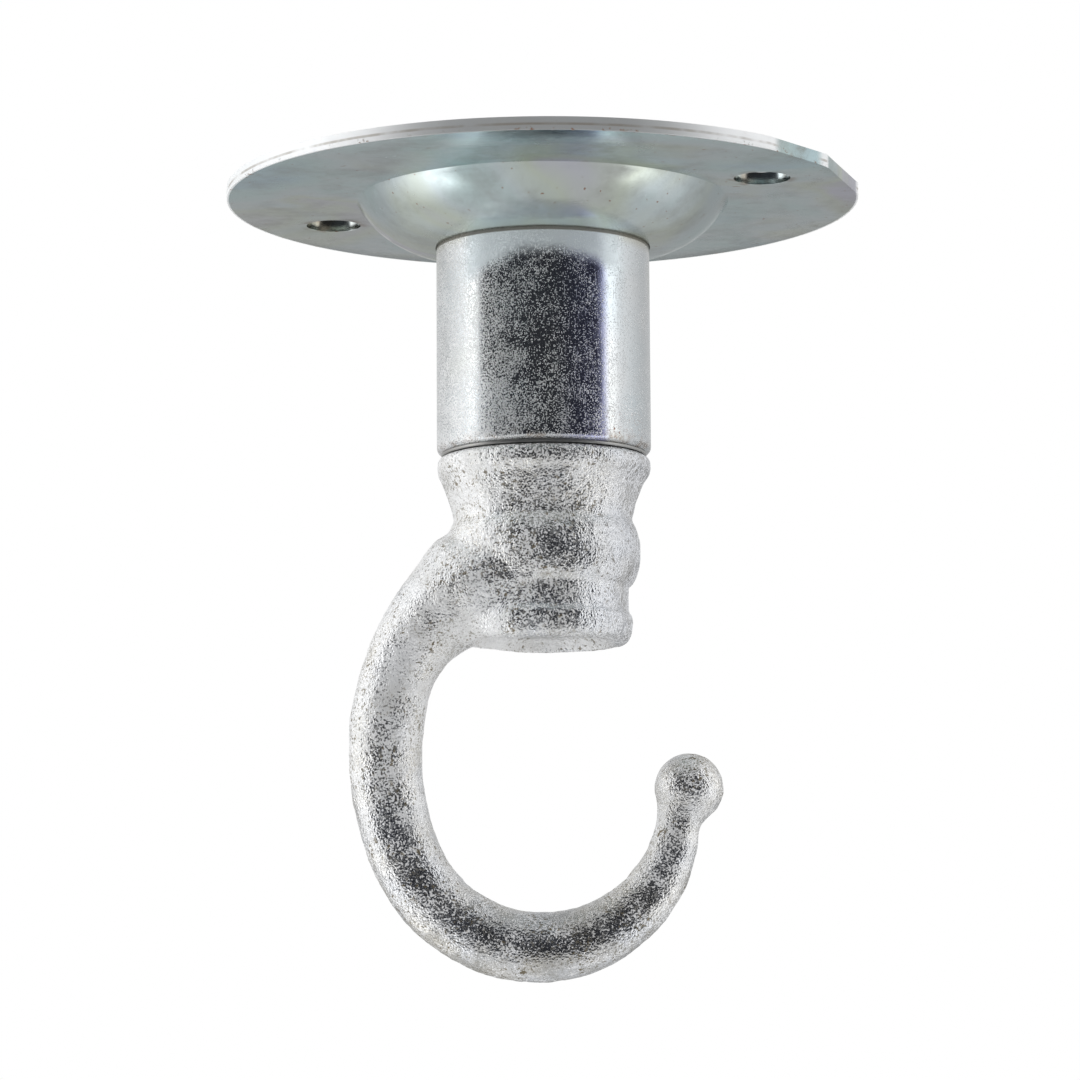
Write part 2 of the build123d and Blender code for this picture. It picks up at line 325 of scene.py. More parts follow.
def sheet_zinc_finish(colours):
    """Satin zinc on rolled sheet: faint iridescence, brownish stains, rust along the sheared rim, and painted
    shade and painted highlight on the rim's edge.
    """
    material, finish = new_finish("sheet_zinc")
    place = finish.place()
    x, _, z = finish.parts_of(place)
    out = finish.from_axis(place)
    film = finish.noise(place, 26.0, detail=3.0, distortion=0.6)
    tint = finish.ramp(
        film,
        [
            (0.30, (0.80, 0.92, 1.00)),
            (0.41, (0.90, 1.00, 0.98)),
            (0.50, (1.00, 1.00, 1.00)),
            (0.58, (1.00, 0.97, 0.84)),
            (0.68, (0.98, 0.88, 0.98)),
        ],
    )
    zinc = finish.blend(1.0, tuple(colours.sheet_zinc), tint, "MULTIPLY")
    cloudy = finish.noise(place, 7.0, detail=5.0, roughness=0.65)
    zinc = finish.blend(cloudy.between(0.45, 0.75, 0.0, 0.35), zinc, (0.22, 0.215, 0.19))
    stain = finish.noise(finish.turned(place, location=(0.03, 0.01, 0.0)), 11.0, detail=6.0, roughness=0.7)
    near_rim = out.between(30 * MM, 37.5 * MM)
    zinc = finish.blend(stain.between(0.56, 0.72) * near_rim * 0.5, zinc, (0.20, 0.145, 0.085))
    fleck = finish.noise(place, 0.55, detail=2.0)
    rim_side = out.between(36.8 * MM, 37.5 * MM)
    lower_edge = z.between(-0.9 * MM, -1.35 * MM)
    patchy = finish.noise(place, 3.2, detail=3.0)
    rust = (fleck.between(0.56, 0.66) * patchy.between(0.44, 0.60) * rim_side * lower_edge).clamped()
    dots = finish.noise(place, 0.62, detail=1.0).between(0.745, 0.775)
    zinc = finish.blend((rust * 0.85 + dots * 0.7).clamped(), zinc, tuple(colours.rust))
    polish = finish.noise(place, 1.6, detail=4.0, roughness=0.6)
    roughness = polish.between(0.3, 0.7, 0.17, 0.27) + stain.between(0.55, 0.75) * 0.1 + rust * 0.3
    satin = finish.noise(place, 0.16, detail=2.0)
    waves = finish.noise(place, 9.0, detail=1.0)
    rolling = finish.turned(place, scale=(0.12, 1.0, 1.0), rotation=(0, 0, 0.45))
    rolled = finish.noise(rolling, 0.22, detail=2.0)
    normal = finish.bump(waves, 0.35, 0.35)
    normal = finish.bump(satin * 0.6 + rolled * 0.5, 0.20, 0.03, normal)
    # Brown stains creep round the edges of the screw holes.
    for turn in (0.0, pi):
        angle = radians(HOLE_AZIMUTH) + turn
        middle = (-SCREWS["pcd_mm"] / 2 * MM * cos(angle), -SCREWS["pcd_mm"] / 2 * MM * sin(angle), 0.0)
        from_hole = finish.from_axis(finish.turned(place, location=middle))
        ring = from_hole.between(4.6 * MM, 3.4 * MM) * patchy.between(0.42, 0.62)
        zinc = finish.blend(ring * 0.6, zinc, (0.22, 0.14, 0.075))
    # The rim's edge is painted dark at the front as painted shade, and near white towards the sides as
    # painted highlight.
    side_band = out.between(37.35 * MM, 37.55 * MM)
    painted_highlight_share = (x * x).between((8 * MM) ** 2, (21 * MM) ** 2)
    side = finish.blend(painted_highlight_share, (0.44, 0.44, 0.44), (0.97, 0.975, 0.98))
    zinc = finish.blend(side_band * 0.9 * (1.0 - rust), zinc, side)
    sheared = z.between(-1.05 * MM, -0.92 * MM) * z.between(-0.62 * MM, -0.8 * MM)
    sheared = sheared * side_band * patchy.between(0.30, 0.62)
    zinc = finish.blend(sheared * 0.55, zinc, (0.24, 0.19, 0.13))
    roughness = roughness + side_band * 0.25
    metallic = 1.0 - side_band * 0.75
    finish.surface(base_color=zinc, metallic=metallic, roughness=roughness, normal=normal)
    return material


def tube_zinc_finish(colours):
    """Bright zinc on the drawn cup: smooth, speckled with grains that also serve as painted glints, with fine
    scratches, rust at its foot, and painted reflections at its front.
    """
    material, finish = new_finish("tube_zinc")
    place = finish.place()
    x, y, z = finish.parts_of(place)
    low, high = SLEEVE_LOW.z, -7.1 * MM
    film = finish.noise(place, 14.0, detail=2.0)
    tint = finish.ramp(film, [(0.35, (0.93, 0.98, 1.0)), (0.5, (1.0, 1.0, 1.0)), (0.66, (1.0, 0.985, 0.93))])
    zinc = finish.blend(1.0, tuple(colours.tube_zinc), tint, "MULTIPLY")
    by_seam = z.between(high - 1.6 * MM, high - 0.2 * MM)
    zinc = finish.blend(by_seam * 0.45, zinc, (0.50, 0.47, 0.33))
    foot = z.between(low + 1.4 * MM, low + 0.4 * MM)
    patchy = finish.noise(place, 1.6, detail=3.0, roughness=0.65)
    zinc = finish.blend(foot * patchy.between(0.42, 0.60) * 0.6, zinc, (0.25, 0.17, 0.10))
    speck = finish.noise(place, 0.30, detail=2.0)
    crowd = finish.noise(place, 5.0, detail=2.0)
    rust = speck.between(0.60, 0.68) * crowd.between(0.50, 0.62) * z.between(low + 5 * MM, low + 1 * MM)
    rust = rust * x.between(2 * MM, 8 * MM)
    zinc = finish.blend(rust.clamped() * 0.85, zinc, tuple(colours.rust))
    # Dull white grains, which also serve as painted glints, crowded on the left of the sleeve and low down,
    # thin elsewhere.
    crowding = finish.noise(place, 3.0, detail=3.0, roughness=0.6)
    crowding = crowding * 0.34 + x.between(1 * MM, -7.5 * MM) * 0.12
    crowding = crowding + z.between(low + 12 * MM, low + 1 * MM) * 0.05
    grain = finish.noise(place, 0.17, detail=1.0, roughness=0.7)
    frost_and_glints = (grain + crowding).between(0.775, 0.845)
    scratches = 0.0
    for turn in ((0.5, 0.9, 0.2), (-0.7, -0.6, 0.8), (0.2, 0.4, -1.1)):
        streak = finish.noise(finish.turned(place, scale=(1.0, 1.0, 0.09), rotation=turn), 0.16, detail=1.0)
        scratches = streak.between(0.715, 0.76) + scratches
    frost_and_glints = (frost_and_glints + scratches * 0.45).clamped()
    # A blue patch is painted on the front, right of the middle, as a painted reflection of the dark surround.
    blue = x.between(0.5 * MM, 5.5 * MM) * (x * x).between((7.8 * MM) ** 2, (6.6 * MM) ** 2)
    blue = blue * y.between(0.0, -4 * MM)
    zinc = finish.blend(blue * 0.7, zinc, (0.46, 0.48, 0.82))
    zinc = finish.blend(frost_and_glints * 0.85, zinc, tuple(colours.frost_and_glints))
    roughness = finish.noise(place, 2.5, detail=4.0).between(0.3, 0.7, 0.13, 0.20) + frost_and_glints * 0.25 + rust * 0.3
    # At the front, just below the plate, a pale bluish band is painted in as a painted reflection, and the
    # plating there is made duller.
    satin = (z + x * x * 34.0 + crowding * (3 * MM)).between(high - 3.1 * MM, high - 0.8 * MM)
    satin = satin * (x * x).between((9.8 * MM) ** 2, (8 * MM) ** 2) * y.between(0.0, -4 * MM)
    zinc = finish.blend(satin * 0.9, zinc, (0.80, 0.88, 0.91))
    seam = z.between(high - 0.42 * MM, high - 0.26 * MM)
    zinc = finish.blend(seam * 0.85, zinc, (0.10, 0.09, 0.06))
    roughness = roughness + satin * 0.16
    metallic = (1.0 - frost_and_glints * 0.34 - rust * 0.4 - satin * 0.66 - seam * 0.5).clamped()
    waves = finish.noise(place, 4.5, detail=1.0)
    skin = finish.noise(place, 0.5, detail=3.0, roughness=0.6)
    normal = finish.bump(waves, 0.20, 0.06)
    normal = finish.bump(skin * 0.45 + grain * 0.35, 0.45, 0.03, normal)
    normal = finish.bump(frost_and_glints, 1.0, 0.025, normal)
    finish.surface(base_color=zinc, metallic=metallic, roughness=roughness, normal=normal)
    return material


def cast_zinc_finish(colours):
    """Zinc on a sand casting: a sparkling grain, partly painted glints, with olive-brown specks in its pits
    and painted shade low on the boss's right.
    """
    material, finish = new_finish("cast_zinc")
    place = finish.place()
    x, _, z = finish.parts_of(place)
    shade = finish.noise(place, 6.0, detail=3.0)
    zinc = finish.blend(shade.between(0.35, 0.65), tuple(colours.cast_zinc), (0.80, 0.82, 0.85))
    coarse = finish.noise(place, 0.7, detail=3.0, roughness=0.6)
    fine = finish.noise(place, 0.25, detail=1.5, roughness=0.6)
    crystal = finish.cells(place, 0.27)
    # Dull white grains, which also serve as painted glints and, in the recess and on the upper arm, as
    # painted light: thickest in the recess and on the upper casting and thinner in the bowl.
    upper_arm = z.between(-76 * MM, -60 * MM) * x.between(-1 * MM, -9 * MM)
    inside = finish.from_axis(place).between(8.7 * MM, 7.8 * MM) * z.between(-56.5 * MM, -54.5 * MM)
    upper = z.between(-90 * MM, -78 * MM)
    crowding = finish.noise(place, 3.2, detail=3.0, roughness=0.6) * 0.38 + upper_arm * 0.085 + inside * 0.2
    frost_and_glints = (fine * 0.8 + coarse * 0.2 + crowding + upper * 0.042).between(0.745, 0.775)
    zinc = finish.blend(frost_and_glints * 0.9, zinc, tuple(colours.frost_and_glints))
    pit = (coarse * 0.4 + fine * 0.6).between(0.455, 0.375)
    crowd = finish.noise(finish.turned(place, location=(0.02, 0.0, 0.01)), 3.6, detail=3.0)
    crowd = crowd.between(0.40, 0.62)
    bowl = z.between(-82 * MM, -90 * MM)
    zinc = finish.blend(pit * (0.12 + crowd * 0.5 + bowl * 0.25), zinc, tuple(colours.olive_stain))
    # A darker mottle all over the casting, heavier in the bowl.
    dark_mottle = finish.noise(finish.turned(place, location=(0.0, 0.02, 0.02)), 5.0, detail=4.0, roughness=0.6)
    zinc = finish.blend(dark_mottle.between(0.45, 0.65) * (0.16 + bowl * 0.22), zinc, (0.30, 0.28, 0.22))
    speck = finish.noise(finish.turned(place, location=(0.01, 0.02, 0.0)), 0.50, detail=2.0)
    speck = speck.between(0.60, 0.66)
    speck = (speck * (0.12 + crowd)).clamped()
    zinc = finish.blend(speck * 0.9, zinc, (0.15, 0.115, 0.055))
    # The lower right of the boss is painted a darker bluish grey as painted shade.
    right = x.between(3 * MM, 10 * MM) * z.between(-60 * MM, -52 * MM)
    zinc = finish.blend(right * 0.35, zinc, (0.58, 0.61, 0.68))
    roughness = fine.between(0.3, 0.7, 0.16, 0.27) + pit * 0.15 + frost_and_glints * 0.15
    metallic = (1.0 - frost_and_glints * 0.70 - pit * 0.25 - speck * 0.4).clamped()
    normal = finish.bump(finish.noise(place, 2.6, detail=2.0), 0.5, 0.25)
    normal = finish.bump(coarse * 0.7 + fine * 0.55 + crystal * 0.6, 1.0, 0.115, normal)
    finish.surface(base_color=zinc, metallic=metallic, roughness=roughness, normal=normal)
    return material


def plain_steel_finish(colours):
    """Plain turned steel, lightly oiled, with turning marks round the axis."""
    material, finish = new_finish("plain_steel")
    place = finish.place()
    out = finish.from_axis(place)
    _, _, z = finish.parts_of(place)
    rings = finish.node(
        "ShaderNodeTexNoise",
        {"noise_dimensions": "2D"},
        {
            "Vector": finish.node("ShaderNodeCombineXYZ", None, {0: out, 1: z}).outputs[0],
            "Scale": 1.0 / (0.12 * MM),
            "Detail": 3.0,
        },
    )
    rings = Signal(finish, rings.outputs[0])
    oil = finish.noise(place, 2.2, detail=4.0, roughness=0.6)
    steel = finish.blend(oil.between(0.4, 0.7), tuple(colours.steel), (0.16, 0.13, 0.095))
    dust = finish.noise(place, 0.4, detail=2.0).between(0.60, 0.70)
    steel = finish.blend(dust * 0.5, steel, tuple(colours.rust))
    roughness = oil.between(0.3, 0.7, 0.24, 0.42) + dust * 0.2
    normal = finish.bump(rings, 0.4, 0.03)
    normal = finish.bump(finish.noise(place, 0.5, detail=3.0), 0.3, 0.05, normal)
    finish.surface(base_color=steel, metallic=1.0, roughness=roughness, normal=normal)
    return material


# ---------------------------------------------------------------- modelling, as by hand


def deselect():
    bpy.ops.object.select_all(action="DESELECT")


def activate(piece):
    deselect()
    piece.select_set(True)
    bpy.context.view_layer.objects.active = piece


def apply_modifier(piece, kind, name, **settings):
    """Adds one modifier with its settings and applies it."""
    activate(piece)
    modifier = piece.modifiers.new(name, kind)
    for key, value in settings.items():
        setattr(modifier, key, value)
    bpy.ops.object.modifier_apply(modifier=name)


def arc_points(centre, radius, start, end, steps):
    """Points of an arc in an outline, angles in degrees, both ends included."""
    made = []
    for step in range(steps + 1):
        angle = radians(start + (end - start) * step / steps)
        made.append((centre[0] + radius * cos(angle), centre[1] + radius * sin(angle)))
    return made


def draw_outline(name, points):
    """Draws a closed outline in the XZ plane: one vertex, extruded from point to point."""
    deselect()
    start = Vector((points[0][0], 0.0, points[0][1]))
    bpy.ops.mesh.primitive_plane_add(size=MM, location=start)
    piece = bpy.context.active_object
    piece.name = name
    bpy.ops.object.mode_set(mode="EDIT")
    bpy.ops.mesh.merge(type="CENTER")
    here = start
    for x, z in points[1:]:
        there = Vector((x, 0.0, z))
        bpy.ops.mesh.extrude_vertices_move(TRANSFORM_OT_translate={"value": there - here})
        here = there
    outline = bmesh.from_edit_mesh(piece.data)
    outline.verts.ensure_lookup_table()
    for vertex in outline.verts:
        vertex.select = vertex.index in (0, len(outline.verts) - 1)
    outline.select_flush_mode()
    bpy.ops.mesh.edge_face_add()
    bpy.ops.object.mode_set(mode="OBJECT")
    bpy.ops.object.transform_apply(location=True, rotation=True, scale=True)
    return piece


def spin_outline(piece, steps):
    """Spins an outline a full turn about the pivot axis and closes the seam and the poles."""
    activate(piece)
    bpy.ops.object.mode_set(mode="EDIT")
    bpy.ops.mesh.select_all(action="SELECT")
    bpy.ops.mesh.spin(steps=steps, angle=2 * pi, center=(0, 0, 0), axis=(0, 0, 1))
    bpy.ops.mesh.select_all(action="SELECT")
    bpy.ops.mesh.remove_doubles(threshold=0.002 * MM)
    bpy.ops.mesh.delete_loose()
    bpy.ops.mesh.select_all(action="SELECT")
    bpy.ops.mesh.normals_make_consistent(inside=False)
    bpy.ops.object.mode_set(mode="OBJECT")
    return piece


def cut_away(piece, cutter):
    """Takes the cutter's shape out of the piece and removes the cutter."""
    apply_modifier(piece, "BOOLEAN", "cut", operation="DIFFERENCE", object=cutter, solver="EXACT")
    bpy.data.objects.remove(cutter)


def weigh(piece, name, weight_of):
    """A vertex group whose weights come from each vertex's place."""
    group = piece.vertex_groups.new(name=name)
    for vertex in piece.data.vertices:
        weight = weight_of(vertex.co)
        if weight > 0.0:
            group.add([vertex.index], min(weight, 1.0), "REPLACE")
    return group


def unevenness(name, kind, size):
    """A procedural texture for the Displace modifier."""
    texture = bpy.data.textures.new(name, kind)
    texture.noise_scale = size
    if kind == "CLOUDS":
        texture.noise_depth = 2
    return texture


def smoothly(low, high, value):
    """0 at low, 1 at high, with an even rise between."""
    share = min(max((value - low) / (high - low), 0.0), 1.0)
    return share * share * (3 - 2 * share)


def finish_piece(piece, body, node, material, angle):
    """Smooths a piece, gives it its finish and lets it ride in its CAD node's place."""
    activate(piece)
    bpy.ops.object.shade_smooth_by_angle(angle=radians(angle))
    piece.data.materials.clear()
    piece.data.materials.append(material)
    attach(piece, body)
    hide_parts(node)


# ---------------------------------------------------------------- the pieces


def dome_middle(plate):
    """The middle of the dome's arc, from its two ends at the flat ring and at the throat."""
    run, drop = plate.dome_radius - plate.throat_radius, -PLATE_LOW.z - plate.sheet
    chord = hypot(run, drop)
    rise = sqrt(plate.dome_arc**2 - chord * chord / 4)
    out = (plate.dome_radius + plate.throat_radius) / 2 - rise * drop / chord
    return out, -(plate.sheet - PLATE_LOW.z) / 2 + rise * run / chord


def dome_points(middle, radius, start, end, steps):
    """Points of an arc about the dome's middle, from one distance out to another."""
    reach = [out - middle[0] for out in (start, end)]
    angles = [-degrees(atan2(sqrt(radius**2 - out**2), out)) for out in reach]
    return arc_points(middle, radius, *angles, steps)


class HOOK_OT_plate(bpy.types.Operator):
    """Presses the round plate with its dome, throat, two screw holes and blanking flats"""

    bl_idname = "swivel_hook.plate"
    bl_label = "Ceiling plate"

    def execute(self, context):
        sizes, colours = context.scene.hook_plate, context.scene.hook_finishes
        sheet, throat, dome = sizes.sheet, sizes.throat_radius, sizes.dome_radius
        rim, top = PLATE_HIGH.x - RIM_INSET, PLATE_HIGH.z
        middle = dome_middle(sizes)
        inner = sizes.dome_arc - sheet
        inner_end = middle[0] + sqrt(inner**2 - (middle[1] + sheet) ** 2)
        outline = [(rim, top), (rim, -sheet), ((rim + dome) / 2, -sheet)]
        outline += dome_points(middle, sizes.dome_arc, dome, throat, 22)
        outline += dome_points(middle, inner, throat, inner_end, 20)
        outline += [(dome - sheet, top), ((rim + dome) / 2, top)]
        plate = spin_outline(draw_outline("plate_pressing", outline), 200)
        for angle, share in RIM_FLATS:
            facing = Vector((cos(radians(angle)), sin(radians(angle)), 0.0))
            activate(plate)
            bpy.ops.object.mode_set(mode="EDIT")
            bpy.ops.mesh.select_all(action="SELECT")
            bpy.ops.mesh.bisect(
                plane_co=facing * (PLATE_HIGH.x - sizes.flat_cut * share), plane_no=facing,
                use_fill=True, clear_outer=True,
            )
            bpy.ops.object.mode_set(mode="OBJECT")
        out = SCREWS["pcd_mm"] / 2 * MM
        for turn in (0.0, pi):
            angle = radians(HOLE_AZIMUTH) + turn
            deselect()
            bpy.ops.mesh.primitive_cylinder_add(
                vertices=64,
                radius=SCREWS["hole_r_mm"] * MM,
                depth=6 * MM,
                location=(out * cos(angle), out * sin(angle), -sheet / 2),
            )
            cut_away(plate, bpy.context.active_object)
        apply_modifier(
            plate, "BEVEL", "edges", width=sizes.edge_round, segments=3,
            limit_method="ANGLE", angle_limit=radians(32),
        )
        finish_piece(plate, "mount", "ceiling_plate", sheet_zinc_finish(colours), 40)
        return {"FINISHED"}


class HOOK_OT_sleeve(bpy.types.Operator):
    """Draws the sleeve, a cup whose rim flares over the throat of the plate"""

    bl_idname = "swivel_hook.sleeve"
    bl_label = "Sleeve"

    def execute(self, context):
        sizes, plate = context.scene.hook_sleeve, context.scene.hook_plate
        colours = context.scene.hook_finishes
        wall, radius, foot, lip = sizes.wall, sizes.radius, SLEEVE_LOW.z, PLATE_LOW.z
        middle, flare = dome_middle(plate), SLEEVE_HIGH.x
        seat = plate.dome_arc - plate.sheet - sizes.rim_lift
        outline = dome_points(middle, seat, flare, radius, 10)
        outline += [(radius, foot + (lip - foot) * share) for share in (0.75, 0.5, 0.25)]
        corner = (radius - sizes.foot_round, foot + sizes.foot_round)
        outline += arc_points(corner, sizes.foot_round, 0, -90, 8)
        inner_corner = (radius - wall - FLOOR_CORNER, foot + wall + FLOOR_CORNER)
        outline += [(PIN_HOLE, foot), (PIN_HOLE, foot + wall), (inner_corner[0], foot + wall)]
        outline += arc_points(inner_corner, FLOOR_CORNER, -60, 0, 3)
        outline += dome_points(middle, seat - wall, radius - wall, flare, 8)
        sleeve = spin_outline(draw_outline("drawn_sleeve", outline), 192)
        apply_modifier(
            sleeve, "BEVEL", "edges", width=0.15 * MM, segments=2,
            limit_method="ANGLE", angle_limit=radians(40),
        )
        finish_piece(sleeve, "mount", "sleeve", tube_zinc_finish(colours), 40)
        return {"FINISHED"}


def ring_place(arc, angle):
    """The place of a point on one of the arm's arcs: centre, radius, then an angle in degrees."""
    (centre_x, centre_z), radius = arc
    return Vector((centre_x + radius * cos(radians(angle)), 0.0, centre_z + radius * sin(radians(angle))))


class HOOK_OT_casting(bpy.types.Operator):
    """Casts the hook: a stepped boss, an arm swept round through the bowl, and a ball on the tip"""

    bl_idname = "swivel_hook.casting"
    bl_label = "Hook casting"

    def execute(self, context):
        sizes, pin, colours = context.scene.hook_casting, context.scene.hook_pin, context.scene.hook_finishes
        top = HOOK_TOP
        foot = top - sizes.boss_height
        collar = sizes.collar_radius
        bowl = foot - BOWL_DROP
        outline = [(0.0, top)]
        outline += [(collar - step * MM, top - drop * MM) for drop, step in BOSS_PROFILE]
        outline += [(0.0, foot)]
        boss = spin_outline(draw_outline("hook_casting", outline), 160)

        # The arm: a ring is set at its root inside the boss and swept from arc to arc round to the tip.
        start = (sizes.bowl_x, bowl + sizes.bowl_arc)
        bowl_turn, back_turn, shoulder_turn, root_turn, tip_turn = 66.0, 38.0, 46.0, 25.0, 82.0
        leaves_bowl = -90.0 - bowl_turn
        back_middle = ring_place((start, sizes.bowl_arc - sizes.back_arc), leaves_bowl)
        leaves_back = leaves_bowl - back_turn
        back_centre = (back_middle.x, back_middle.z)
        shoulder_middle = ring_place((back_centre, sizes.back_arc - sizes.shoulder_arc), leaves_back)
        shoulder_centre = (shoulder_middle.x, shoulder_middle.z)
        leaves_shoulder = leaves_back - shoulder_turn
        tip_centre = (sizes.bowl_x, bowl + sizes.tip_arc)
        swell = sizes.root_width - sizes.shoulder_width
        rings = []
        for share in (0.0, 0.25, 0.5, 0.75):
            angle = leaves_shoulder - root_turn * (1 - share)
            aside = ROOT_DEPTH + (SHOULDER_DEPTH - ROOT_DEPTH) * share
            rings.append(((shoulder_centre, sizes.shoulder_arc), angle, sizes.root_width, aside))
        for step in range(15):
            share = 1 - step / 15
            width = sizes.shoulder_width + swell * share**2.4
            aside = sizes.shoulder_width + (SHOULDER_DEPTH - sizes.shoulder_width) * share**1.75
            angle = leaves_back - shoulder_turn * share
            rings.append(((shoulder_centre, sizes.shoulder_arc), angle, width, aside))
        for step in range(12):
            angle = leaves_back + back_turn * step / 12
            width = sizes.shoulder_width + (BACK_WIDTH - sizes.shoulder_width) * step / 12
            rings.append(((back_centre, sizes.back_arc), angle, width, width))
        for step in range(18):
            angle = leaves_bowl + bowl_turn * step / 18
            width = BACK_WIDTH + (sizes.bowl_width - BACK_WIDTH) * step / 18
            rings.append(((start, sizes.bowl_arc), angle, width, width))
        for step in range(21):
            share = step / 20
            width = sizes.bowl_width + (sizes.neck_width - sizes.bowl_width) * share**1.4
            rings.append(((tip_centre, sizes.tip_arc), -90.0 + tip_turn * share, width, width))

        arc, angle, width, aside = rings[0]
        deselect()
        bpy.ops.mesh.primitive_circle_add(
            vertices=72, radius=width / 2, fill_type="NGON", location=ring_place(arc, angle),
            rotation=(0.0, atan2(-sin(radians(angle)), cos(radians(angle))), 0.0),
        )
        arm = bpy.context.active_object
        bpy.ops.object.transform_apply(location=True, rotation=True, scale=True)
        bpy.ops.object.mode_set(mode="EDIT")
        bpy.ops.transform.resize(value=(1.0, aside / width, 1.0), center_override=ring_place(arc, angle))
        for (arc, angle, new_width, new_aside), (_, before, _, _) in zip(rings[1:], rings[:-1]):
            (centre_x, centre_z), _ = arc
            bpy.ops.mesh.spin(
                steps=1, angle=radians(angle - before), center=(centre_x, 0.0, centre_z), axis=(0.0, 1.0, 0.0)
            )
            bpy.ops.transform.resize(
                value=(new_width / width, new_aside / aside, new_width / width),
                center_override=ring_place(arc, angle),
            )
            width, aside = new_width, new_aside
        # The neck runs straight on into the ball.
        way = Vector((-sin(radians(angle)), 0.0, cos(radians(angle))))
        ball = ring_place(arc, angle) + way * NECK_RUN + Vector((NECK_LEAN, 0.0, 0.0))
        here = ring_place(arc, angle)
        for share, flare in ((0.14, 1.02), (0.26, 1.05), (0.38, 1.09), (1.0, 1.0)):
            there = ring_place(arc, angle).lerp(ball, share)
            bpy.ops.mesh.extrude_region_move(TRANSFORM_OT_translate={"value": there - here})
            bpy.ops.transform.resize(value=(flare, flare, flare), center_override=there)
            here = there
        bpy.ops.mesh.select_all(action="SELECT")
        bpy.ops.mesh.normals_make_consistent(inside=False)
        bpy.ops.object.mode_set(mode="OBJECT")
        deselect()
        bpy.ops.mesh.primitive_uv_sphere_add(
            segments=64, ring_count=40, radius=sizes.ball_radius, location=ball
        )
        tip_ball = bpy.context.active_object
        bpy.ops.object.transform_apply(location=True, rotation=True, scale=True)
        for other in (arm, tip_ball):
            apply_modifier(boss, "BOOLEAN", "join", operation="UNION", object=other, solver="EXACT")
            bpy.data.objects.remove(other)

        # The bore for the pin, and the recess that clears its head.
        recess, bore = RECESS_RADIUS, pin.shank_radius + 0.35 * MM
        floor = foot + RECESS_DEPTH
        hollow = [(0.0, foot - 2 * MM), (recess + 1.2 * MM, foot - 2 * MM), (recess + 1.05 * MM, foot)]
        hollow += [(recess + 0.1 * MM, foot + 1.5 * MM), (recess, foot + 2.4 * MM), (recess, floor)]
        hollow += [(bore, floor), (bore, top + 2 * MM), (0.0, top + 2 * MM)]
        cut_away(boss, spin_outline(draw_outline("hollow", hollow), 96))
        apply_modifier(boss, "REMESH", "skin", mode="VOXEL", voxel_size=sizes.voxel)
        apply_modifier(boss, "SMOOTH", "even", factor=0.5, iterations=1)

        ball_place = ball.copy()

        def at_root(place):
            by_arm = smoothly(-2.6 * MM, -7.2 * MM, place.x)
            below_top = smoothly(foot + 15.0 * MM, foot + 9.5 * MM, place.z)
            return by_arm * below_top * smoothly(foot - 9 * MM, foot - 2 * MM, place.z)

        def at_neck(place):
            if place.x <= 10 * MM:
                return 0.0
            gap = (place - ball_place).dot(way)
            return smoothly(-6.0 * MM, -3.9 * MM, gap) * smoothly(-0.6 * MM, -2.3 * MM, gap)

        def outside(place):
            """Where the casting may be uneven: not on its turning faces, nor in the bore."""
            near_top = smoothly(top - 0.05 * MM, top - 1.0 * MM, place.z)
            out = hypot(place.x, place.y)
            inside = 0.0
            if foot + 0.2 * MM < place.z < top:
                inside = 1.0 - smoothly(recess - 0.1 * MM, recess + 0.4 * MM, out)
            return near_top * (1.0 - inside)

        weigh(boss, "root", at_root)
        weigh(boss, "neck", at_neck)
        apply_modifier(boss, "SMOOTH", "root blend", factor=0.5, iterations=90, vertex_group="root")
        apply_modifier(boss, "SMOOTH", "neck blend", factor=0.5, iterations=45, vertex_group="neck")
        weigh(boss, "outside", outside)
        for label, grain, depth in (("lumps", 3.4, 0.22), ("unevenness", 1.3, 0.12), ("grit", 0.6, 0.10)):
            apply_modifier(
                boss, "DISPLACE", label, texture_coords="LOCAL",
                texture=unevenness(label, "CLOUDS", grain * MM),
                strength=depth * MM, mid_level=0.56, vertex_group="outside",
            )
        # The boss is a little fuller on the arm's side.
        for vertex in boss.data.vertices:
            place = vertex.co
            share = smoothly(0.0, -7 * MM, place.x) * smoothly(top - 0.8 * MM, top - 3.5 * MM, place.z)
            share *= smoothly(foot + 9 * MM, foot + 13.5 * MM, place.z)
            if hypot(place.x, place.y) > 7 * MM:
                place.x -= 0.36 * MM * share
        boss.vertex_groups.clear()
        finish_piece(boss, "swivel_hook", "hook", cast_zinc_finish(colours), 70)
        return {"FINISHED"}


